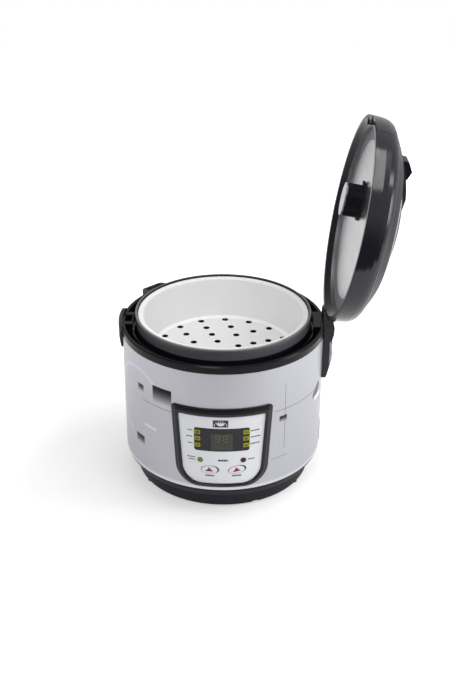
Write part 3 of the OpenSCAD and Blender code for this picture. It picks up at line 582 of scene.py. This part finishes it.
def curved_plates(outlines, low, high):
    """Several plates that follow the sleeve, as one."""
    return merged([curved_plate(outline, low, high) for outline in outlines])


def box_outline(x0, x1, h0, h1, radius=0.0):
    points = [(x0, h0), (x1, h0), (x1, h1), (x0, h1)]
    return rounded(points, [radius] * 4, 4) if radius else points


def turned_outline(outline, angle, at):
    """The outline turned about its origin, which then moves to a point."""
    c, s = math.cos(math.radians(angle)), math.sin(math.radians(angle))
    return [(at[0] + x * c - y * s, at[1] + x * s + y * c) for x, y in outline]


def bevelled(made, width):
    """Rounds an object's sharp edges, by a width in millimetres."""
    bevel = made.modifiers.new("bevel", "BEVEL")
    bevel.width = width * MM
    bevel.segments = 2
    bevel.limit_method = "ANGLE"
    bevel.angle_limit = math.radians(35)
    bevel.harden_normals = True


# ---------------------------------------------------------------- control panel

# Millimetres: x runs across the front, h up from the sleeve's lower edge, and out from the steel
PANEL_LOW, PANEL_HIGH = 5, 122.5
PANEL_TOP_HALF, PANEL_LEAN = 64.8, 6.4
TIGHT_CORNER, WIDE_CORNER = 5, 30
FACE_OUT = 0.4
WINDOW_OUT = FACE_OUT + 0.2


def panel_corners(inset):
    """The panel's outline at an inset from its edge, which is wide at the top and narrow at the foot."""
    low, high = PANEL_LOW + inset * 0.65, PANEL_HIGH - inset * 1.45
    top = PANEL_TOP_HALF - inset * 1.12
    bottom = top - PANEL_LEAN
    tight, wide = max(TIGHT_CORNER - inset / 3, 2), WIDE_CORNER - inset * 0.6
    corners = [(-top, high), (-bottom, low), (bottom, low), (top, high)]
    return rounded(corners, [tight, wide, wide, tight], 12)


def panel_outline(inset):
    """The same outline with its straight sides cut into parts, as many at every inset."""
    outer, corners = panel_corners(0), panel_corners(inset)
    out = []
    for i, (x, h) in enumerate(corners):
        j = (i + 1) % len(corners)
        to_x, to_h = corners[j][0] - x, corners[j][1] - h
        parts = max(1, round(math.dist(outer[i], outer[j]) / 5))
        out += [(x + to_x * k / parts, h + to_h * k / parts) for k in range(parts)]
    return out


# The bezel's section, as inset from the outer edge and height above the steel
BEZEL_SECTION = ((0.1, 0.1), (0.1, 1.0), (0.5, 1.5), (2.6, 1.7), (3.3, 2.1), (3.8, 2.7), (4.6, 3.0),
                 (6.0, 3.0), (7.0, 2.6), (7.9, 1.7), (8.3, 0.9), (8.4, -1.2), (3.6, -1.2), (3.4, 0.1))
bezel_rings = [[on_sleeve(x, h, out) for x, h in panel_outline(inset)] for inset, out in BEZEL_SECTION]
bezel = piece("bezel_frame", *loft(bezel_rings, closed=True), panel_gloss, "cooker_body", sharp=50)
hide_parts("panel_bezel")

# The display: a shaded glass with two unlit digits
GLASS = box_outline(-14, 14, 61.7, 85.8, 0.6)
glass_plate = curved_plate(GLASS, WINDOW_OUT - 0.1, WINDOW_OUT + 0.12)
display_glass = piece("display_glass", *glass_plate, lcd_olive, "cooker_body")

DIGIT_X, DIGIT_LOW = (-8.4, 1.4), 73.5
DIGIT_W, DIGIT_H, BAR, BAR_GAP = 6.6, 10.6, 1.25, 0.35


def digit(x, h):
    """The seven bars of a digit whose lower left corner is at x, h. Each bar is pointed at both ends."""
    point, shoulder = BAR / 2 + BAR_GAP, BAR + BAR_GAP / 2
    half = (DIGIT_H - BAR) / 2
    across = [(point, 0), (shoulder, BAR / 2), (DIGIT_W - shoulder, BAR / 2),
              (DIGIT_W - point, 0), (DIGIT_W - shoulder, -BAR / 2), (shoulder, -BAR / 2)]
    high = half - BAR / 2 - BAR_GAP / 2
    up = [(0, point), (BAR / 2, shoulder), (BAR / 2, high), (0, half - BAR_GAP),
          (-BAR / 2, high), (-BAR / 2, shoulder)]
    bars = [[(x + u, h + BAR / 2 + level + v) for u, v in across] for level in (0, half, 2 * half)]
    bars += [[(x + side + u, h + level + v) for u, v in up]
             for side in (BAR / 2, DIGIT_W - BAR / 2) for level in (BAR / 2, BAR / 2 + half)]
    return bars


digit_bars = [bar for x in DIGIT_X for bar in digit(x, DIGIT_LOW)]
digit_plates = curved_plates(digit_bars, WINDOW_OUT + 0.1, WINDOW_OUT + 0.2)
digits = piece("display_digits", *digit_plates, lcd_digit, "cooker_body")

# The lamps: a lens each, with a small dark pictogram of grains, a bowl or a pot
LAMP_X = SLEEVE_R / MM * math.sin(math.radians(13.4))
LAMP_H = (68, 77.8, 87.2)
LAMP_W, LAMP_TALL = 7.4, 6.0


def lamp_outline(x, h):
    return box_outline(x - LAMP_W / 2, x + LAMP_W / 2, h - LAMP_TALL / 2, h + LAMP_TALL / 2, 1.0)


lamp_outlines = [lamp_outline(side * LAMP_X, h) for side in (-1, 1) for h in LAMP_H]
lamp_plates = curved_plates(lamp_outlines, WINDOW_OUT - 0.1, WINDOW_OUT + 0.55)
lenses = piece("lamp_lenses", *lamp_plates, icon_green, "cooker_body")
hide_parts("mode_lamps")


def disc_outline(x, h, r_across, r_up, start=0, end=360, steps=16):
    """An ellipse, or the stretch of it from one angle to another, closed by a straight line."""
    full = end - start >= 360
    return [(x + r_across * math.cos(math.radians(start + (end - start) * k / steps)),
             h + r_up * math.sin(math.radians(start + (end - start) * k / steps)))
            for k in range(steps if full else steps + 1)]


def bowl_mark(x, h):
    return [disc_outline(x, h, 2.2, 1.7, 180, 360), box_outline(x - 0.35, x + 0.35, h + 0.5, h + 1.8)]


def grain_mark(x, h):
    grains = ((-1.5, 0), (0, 1.0), (0, -1.0), (1.5, 0))
    return [disc_outline(x + u, h + v, 0.55, 0.8) for u, v in grains]


def pot_mark(x, h):
    side = box_outline(x - 1.7, x + 1.7, h - 1.7, h + 0.5, 0.4)
    return [side, box_outline(x - 2.2, x + 2.2, h + 0.9, h + 1.5)]


# From the lowest lamp up, on the left and on the right
LAMP_MARKS = {-1: (grain_mark, bowl_mark, pot_mark), 1: (bowl_mark, pot_mark, grain_mark)}
mark_outlines = [outline for side, drawn in LAMP_MARKS.items() for mark, h in zip(drawn, LAMP_H)
                 for outline in mark(side * LAMP_X, h)]
mark_plates = curved_plates(mark_outlines, WINDOW_OUT + 0.5, WINDOW_OUT + 0.62)
marks = piece("lamp_marks", *mark_plates, ink_dark, "cooker_body")

DASH_GAP = 0.45


def dashes(x, h, widths, tall, tilt=0.0):
    """A printed caption as plain dashes, without letters, that starts at x, h and may rise by a tilt."""
    out = []
    for width in widths:
        out.append(turned_outline(box_outline(0, width, -tall / 2, tall / 2), tilt, (x, h)))
        x += (width + DASH_GAP) * math.cos(math.radians(tilt))
        h += (width + DASH_GAP) * math.sin(math.radians(tilt))
    return out


# The captions beside the lamps, from the top down: those on the left end at one x, and those on
# the right start at another and rise a little
LEFT_END, RIGHT_START = -37.6, 36.8
LEFT_DASHES = ((2.2, 1.6, 1.3), (2.6, 2.0, 2.2), (1.4, 2.6, 0.9))
RIGHT_DASHES = ((2.6, 1.4, 2.4, 3.0), (3.2, 1.2, 2.8, 3.6), (2.4, 3.0, 1.4, 3.2))
BUTTON_CAPTIONS = ((-44.5, 48.5, (2.2, 1.6, 2.8, 2.2), 1.4), (-42.4, 44.8, (2.4, 3.0, 2.0), 1.4),
                   (33.4, 45.8, (2.2, 3.2, 2.4), 1.5, 3),
                   (-21.2, 22.4, (3.0, 3.2, 2.6, 1.6), 2.0), (13.4, 22.4, (3.8, 2.8, 4.2), 2.0),
                   (-4.6, 45.9, (3.6, 2.8, 3.2, 1.6), 2.7))
captions = []
for h, left, right in zip(LAMP_H[::-1], LEFT_DASHES, RIGHT_DASHES):
    captions += dashes(LEFT_END - sum(left) - 2 * DASH_GAP, h + 1.2, left, 1.5)
    captions += dashes(RIGHT_START, h + 0.6, right, 1.6, 4)
for caption in BUTTON_CAPTIONS:
    captions += dashes(*caption)
caption_plates = curved_plates(captions, FACE_OUT - 0.05, FACE_OUT + 0.07)
printed = piece("panel_captions", *caption_plates, ink_dark, "cooker_body")

# A plain emblem: a steaming bowl in a dark tile
TILE = box_outline(-11.4, 8.2, 95.6, 106.0, 1.2)
tile_plate = curved_plate(TILE, FACE_OUT - 0.05, FACE_OUT + 0.06)
tile = piece("emblem_tile", *tile_plate, ink_dark, "cooker_body")
bowl = [disc_outline(-1.6, 101.4, 5.2, 3.9, 180, 360), box_outline(-8.6, 5.4, 101.7, 102.3)]
steam = [box_outline(x - 0.4, x + 0.4, 102.9, 104.6, 0.3) for x in (-4.4, -1.6, 1.2)]
posts = [box_outline(x - 0.45, x + 0.45, 97.2, 100.2) for x in (-9.4, 6.2)]
emblem_plates = curved_plates(bowl + steam + posts, FACE_OUT, FACE_OUT + 0.12)
emblem = piece("panel_emblem", *emblem_plates, panel_silver, "cooker_body")


# ---------------------------------------------------------------- push buttons

# Millimetres: the control board's distance from the axis, the switches on it, the buttons' travel and
# slack, and where each button's hidden shoulder begins and ends
BOARD_Y = 123.6
SWITCH_H = 1.4
TRAVEL = 0.8
STEM_GAP = 0.6
SHOULDER_IN, SHOULDER_OUT, SHOULDER_WIDER = 130, 131, 1.2
# The rolled edge starts so far out from the steel, and is rounded by so much
EDGE_OUT, EDGE_R = 0.7, 0.5


def panel_place(azimuth, h, tilt=0.0):
    """The matrix that puts X across the panel, Y up it and Z outward, at an azimuth from its middle."""
    return (Matrix.Rotation(math.radians(azimuth), 4, "Z")
            @ Matrix.Translation((0, 0, SLEEVE_Z0 + h * MM))
            @ Matrix.Rotation(math.radians(90), 4, "X") @ Matrix.Rotation(math.radians(tilt), 4, "Z"))


def oval(rx, ry, out, count=56):
    """A ring of points, in metres, round the button's middle and out from the cooker's axis."""
    turns = [2 * math.pi * k / count for k in range(count)]
    return [(rx * math.cos(turn) * MM, ry * math.sin(turn) * MM, out * MM) for turn in turns]


def button(name, node, azimuth, h, half_w, half_h, proud, stem_r, material, tilt=0.0):
    """A cap with a rolled edge and a domed face, its hidden shoulder and its stem, in one skin."""
    stem_end = (BOARD_Y + SWITCH_H + TRAVEL + STEM_GAP) / math.cos(math.radians(azimuth))
    surface = SLEEVE_R / MM
    wide, tall = half_w + SHOULDER_WIDER, half_h + SHOULDER_WIDER
    rings = [oval(stem_r, stem_r, stem_end), oval(stem_r, stem_r, SHOULDER_IN),
             oval(wide, tall, SHOULDER_IN), oval(wide, tall, SHOULDER_OUT),
             oval(half_w, half_h, SHOULDER_OUT), oval(half_w, half_h, surface + EDGE_OUT)]
    for k in range(1, 5):
        a = math.radians(90 * k / 4)
        inward = EDGE_R * (1 - math.cos(a))
        rings.append(oval(half_w - inward, half_h - inward, surface + EDGE_OUT + EDGE_R * math.sin(a)))
    edge_top = EDGE_OUT + EDGE_R
    for share in (0.9, 0.75, 0.55, 0.3, 0.08):
        swell = (proud - edge_top) * (1 - share ** 2)
        rings.append(oval((half_w - EDGE_R) * share, (half_h - EDGE_R) * share, surface + edge_top + swell))
    made = piece(name, *loft(rings), material, node, panel_place(azimuth, h, tilt), 50)
    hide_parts(node)


# Each oval button's azimuth and tilt
OVALS = {"cancel_button": (-6.8, 0), "start_button": (8.2, 10)}
OVAL_H, OVAL_HALF_W, OVAL_HALF_H = 31.5, 10.25, 5.3
ROUND_AZ, ROUND_H, ROUND_R = 11.9, 45.3, 3.5
for node, (azimuth, tilt) in OVALS.items():
    button(node.replace("button", "cap"), node, azimuth, OVAL_H, OVAL_HALF_W, OVAL_HALF_H,
           1.6, 2, button_white, tilt)
button("timer_cap", "timer_button", ROUND_AZ, ROUND_H, ROUND_R, ROUND_R, 1.4, 1.6, button_red)
button("warm_cap", "warm_button", -ROUND_AZ, ROUND_H, ROUND_R, ROUND_R, 1.4, 1.6, button_green)


def flat_plate(outline, low, high):
    """A plate in the panel's own plane, in metres."""
    rings = [[(x * MM, y * MM, (SLEEVE_R / MM + out) * MM) for x, y in outline] for out in (low, high)]
    return loft(rings)


def crescent(start, end, outer, inner, shift, steps=18):
    """The stretch of an ellipse's border from one angle to another, which thins out at both ends."""
    thinnest = 0.12
    outside, inside = [], []
    for k in range(steps + 1):
        a = math.radians(start + (end - start) * k / steps)
        thick = math.sin(math.pi * k / steps)
        rx = outer[0] - (outer[0] - inner[0]) * thick - thinnest
        ry = outer[1] - (outer[1] - inner[1]) * thick - thinnest
        outside.append((outer[0] * math.cos(a), outer[1] * math.sin(a)))
        inside.append((rx * math.cos(a) + shift * thick, ry * math.sin(a)))
    return outside + inside[::-1]


# On each oval: a raised red wedge over a painted shadow just below it. Round it, on the panel: a crescent
# and a thin rim
WEDGE = rounded([(-3.6, -0.6), (3.4, -0.6), (-0.1, 4.3)], [0.5, 0.5, 0.6], 5)
WEDGE_SHADOW = rounded([(-5.4, -2.0), (5.0, -2.0), (3.9, -0.2), (-4.3, -0.2)], [0.3] * 4, 4)
CRESCENT = crescent(-60, 88, (12.6, 6.5), (10.6, 5.6), -0.1)
RIM_LINE = crescent(92, 302, (11.0, 5.95), (10.5, 5.5), 0.0, 24)

for node, (azimuth, tilt) in OVALS.items():
    name = node.split("_")[0]
    place = panel_place(azimuth, OVAL_H, tilt)
    wedge = piece(name + "_mark", *flat_plate(WEDGE, 1.35, 1.68), ink_red, node, place)
    # Painted shadow: a dark plate under the wedge's lower edge
    wedge_shadow = piece(name + "_mark_painted_shadow", *flat_plate(WEDGE_SHADOW, 1.0, 1.60), ink_dark, node, place)
    middle = (SLEEVE_R / MM * math.sin(math.radians(azimuth)), OVAL_H)
    shade_plate = curved_plate(turned_outline(CRESCENT, tilt, middle), FACE_OUT - 0.05, FACE_OUT + 0.12)
    shade = piece(name + "_crescent", *shade_plate, ink_dark, "cooker_body")
    line_plate = curved_plate(turned_outline(RIM_LINE, tilt, middle), FACE_OUT - 0.05, FACE_OUT + 0.10)
    line = piece(name + "_rim_line", *line_plate, ink_red, "cooker_body")


# ---------------------------------------------------------------- lid trim

# Lid millimetres: the dome is a cap of a sphere, so high in its middle above the rim
DOME_H, CAP_R = 66, 229.6
TRIM_R = 100.5
TRIM_START, TRIM_END = math.radians(75.4), math.radians(127.6)
BEAD_STEP, BEAD_LENGTH, BEAD_THICK, BEAD_RISE = 2.3, 4.2, 1.9, 0.1
BEAD_SLANT = math.radians(40)
BEAD_RINGS, BEAD_SIDES = 7, 10


def dome(r):
    return DOME_H - CAP_R + math.sqrt(CAP_R * CAP_R - r * r)


def bead(azimuth):
    """A rounded bead lying slantwise across the trim's groove."""
    outward = Vector((math.cos(azimuth), math.sin(azimuth)))
    along = Vector((-math.sin(azimuth), math.cos(azimuth))) * math.copysign(1, azimuth)
    slant = along * math.cos(BEAD_SLANT) + outward * math.sin(BEAD_SLANT)
    over = Vector((-slant.y, slant.x))
    rings = []
    for k in range(BEAD_RINGS):
        a = math.pi * (k + 0.35) / (BEAD_RINGS - 0.3)
        half = BEAD_THICK / 2 * math.sin(a) ** 0.6
        middle = outward * TRIM_R - slant * math.cos(a) * BEAD_LENGTH / 2
        ring = []
        for j in range(BEAD_SIDES):
            b = 2 * math.pi * j / BEAD_SIDES
            p = middle + over * math.cos(b) * half
            z = dome(p.length) + BEAD_RISE + math.sin(b) * half
            ring.append((p.x * MM, p.y * MM, z * MM))
        rings.append(ring)
    return loft(rings)


bead_count = round((TRIM_END - TRIM_START) * TRIM_R / BEAD_STEP)
bead_turns = [TRIM_START + (TRIM_END - TRIM_START) * (k + 0.5) / bead_count for k in range(bead_count)]
beads = [bead(side * turn) for side in (-1, 1) for turn in bead_turns]
rope = piece("trim_rope", *merged(beads), trim_chrome, "lid", LID, 60)
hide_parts("lid_trim")

# ---------------------------------------------------------------- rounded edges on CAD pieces

EDGE_WIDTHS = {"hinge_bracket": 0.5, "drip_cup_holder": 0.5, "latch_keeper": 0.6, "ladle_lug": 0.6,
               "steam_valve": 0.7, "lid_hinge_arm": 0.5, "vent_cap": 0.4, "power_inlet": 0.4,
               "latch_hook": 0.25}
for node, width in EDGE_WIDTHS.items():
    bevelled(nodes[node], width)

# ---------------------------------------------------------------- camera, floor and light

scene.view_settings.view_transform = "Standard"

# The photograph's view: from a little right of the front, looking down, with a slight roll
CAMERA_ROLL = math.radians(0.2)
camera_turn = Matrix.Rotation(math.radians(0.5), 4, "Z")
camera_place = camera_turn @ Vector((2.44, -1305.6, 864.1)) * MM
camera_target = camera_turn @ Vector((2.44, 0, 192.05)) * MM
camera_data = bpy.data.cameras.new("camera")
camera_data.lens = 58.25
camera_data.sensor_width = 36
camera = bpy.data.objects.new("camera", camera_data)
scene.collection.objects.link(camera)
camera.location = camera_place
look = (camera_target - camera_place).to_track_quat("-Z", "Y")
camera.rotation_euler = (look.to_matrix() @ Matrix.Rotation(CAMERA_ROLL, 3, "Z")).to_euler()
scene.camera = camera

# A sheet of paper that ends in front of the object, and glows a little more away from it; the dimmer glow
# near the object, centred a little to its left, is a painted shadow
FLOOR_FRONT, FLOOR_BACK, FLOOR_HALF_W = -0.60, 2.6, 1.3
floor_mesh = bpy.data.meshes.new("floor")
floor_corners = [(-FLOOR_HALF_W, FLOOR_FRONT, 0), (FLOOR_HALF_W, FLOOR_FRONT, 0),
                 (FLOOR_HALF_W, FLOOR_BACK, 0), (-FLOOR_HALF_W, FLOOR_BACK, 0)]
floor_mesh.from_pydata(floor_corners, [], [(0, 1, 2, 3)])
floor = bpy.data.objects.new("floor", floor_mesh)
scene.collection.objects.link(floor)
# Painted shadow: the middle of the dim patch, and the distances over which its glow rises to full
SHADOW_MIDDLE_X, SHADOW_MIDDLE_Y = -0.12, -0.05
GLOW_NEAR, GLOW_FAR = 0.14, 0.62
paper = Graph("floor_paper")
fibre = paper.mix(paper.noise(3, 2), (0.52, 0.52, 0.52), (0.55, 0.55, 0.55))
paper.link(fibre, paper.shader.inputs["Base Color"])
east, north, _ = paper.axes()
away = paper.hypotenuse(paper.math("SUBTRACT", east, SHADOW_MIDDLE_X), paper.math("SUBTRACT", north, SHADOW_MIDDLE_Y))
glow = paper.spread(away, GLOW_NEAR, GLOW_FAR, 0.42, 0.92)
paper.link(glow, paper.shader.inputs["Emission Strength"])
paper.shade(Roughness=0.9, Specular_IOR_Level=0.0, Emission_Color=(1.0, 1.0, 1.0))
floor_mesh.materials.append(paper.material)


def softbox(name, place, aim, width, height, power):
    data = bpy.data.lights.new(name, "AREA")
    data.shape = "RECTANGLE"
    data.size, data.size_y = width, height
    data.energy = power
    lamp = bpy.data.objects.new(name, data)
    scene.collection.objects.link(lamp)
    lamp.location = place
    lamp.rotation_euler = (Vector(aim) - Vector(place)).to_track_quat("-Z", "Y").to_euler()


softbox("front", (1.05, -0.5, 2.3), (1.05, -0.4, 0.35), 0.5, 1.9, 17)
softbox("key", (-0.45, -1.6, 1.9), (0, 0, 0.15), 0.8, 0.8, 11)
softbox("side", (1.9, -0.3, 0.9), (0, 0, 0.2), 0.5, 1.5, 15)
softbox("top", (0.1, 0.2, 2.3), (0, 0, 0.1), 1.4, 1.0, 9)

# The camera sees a white backdrop. A dimmer room, darkest low in front, lights the object and is
# mirrored in it
world = bpy.data.worlds.new("studio")
scene.world = world
world.use_nodes = True
room = Nodes(world.node_tree, "Generated")
toward_x, toward_y, toward_z = room.axes()
low_front = room.spread(room.math("ADD", toward_y, toward_z), -1.1, -0.4, 0.12, 1.0, "SMOOTHSTEP")
to_the_right = room.spread(toward_x, -0.8, 0.9, 0.55, 0.80, "SMOOTHSTEP")
room_light = room.math("MULTIPLY", low_front, to_the_right)
seen_directly = room.node("ShaderNodeLightPath").outputs["Is Camera Ray"]
background = world.node_tree.nodes["Background"]
room.link(room.mix(seen_directly, room_light, (1, 1, 1)), background.inputs["Color"])
background.inputs["Strength"].default_value = 1.0
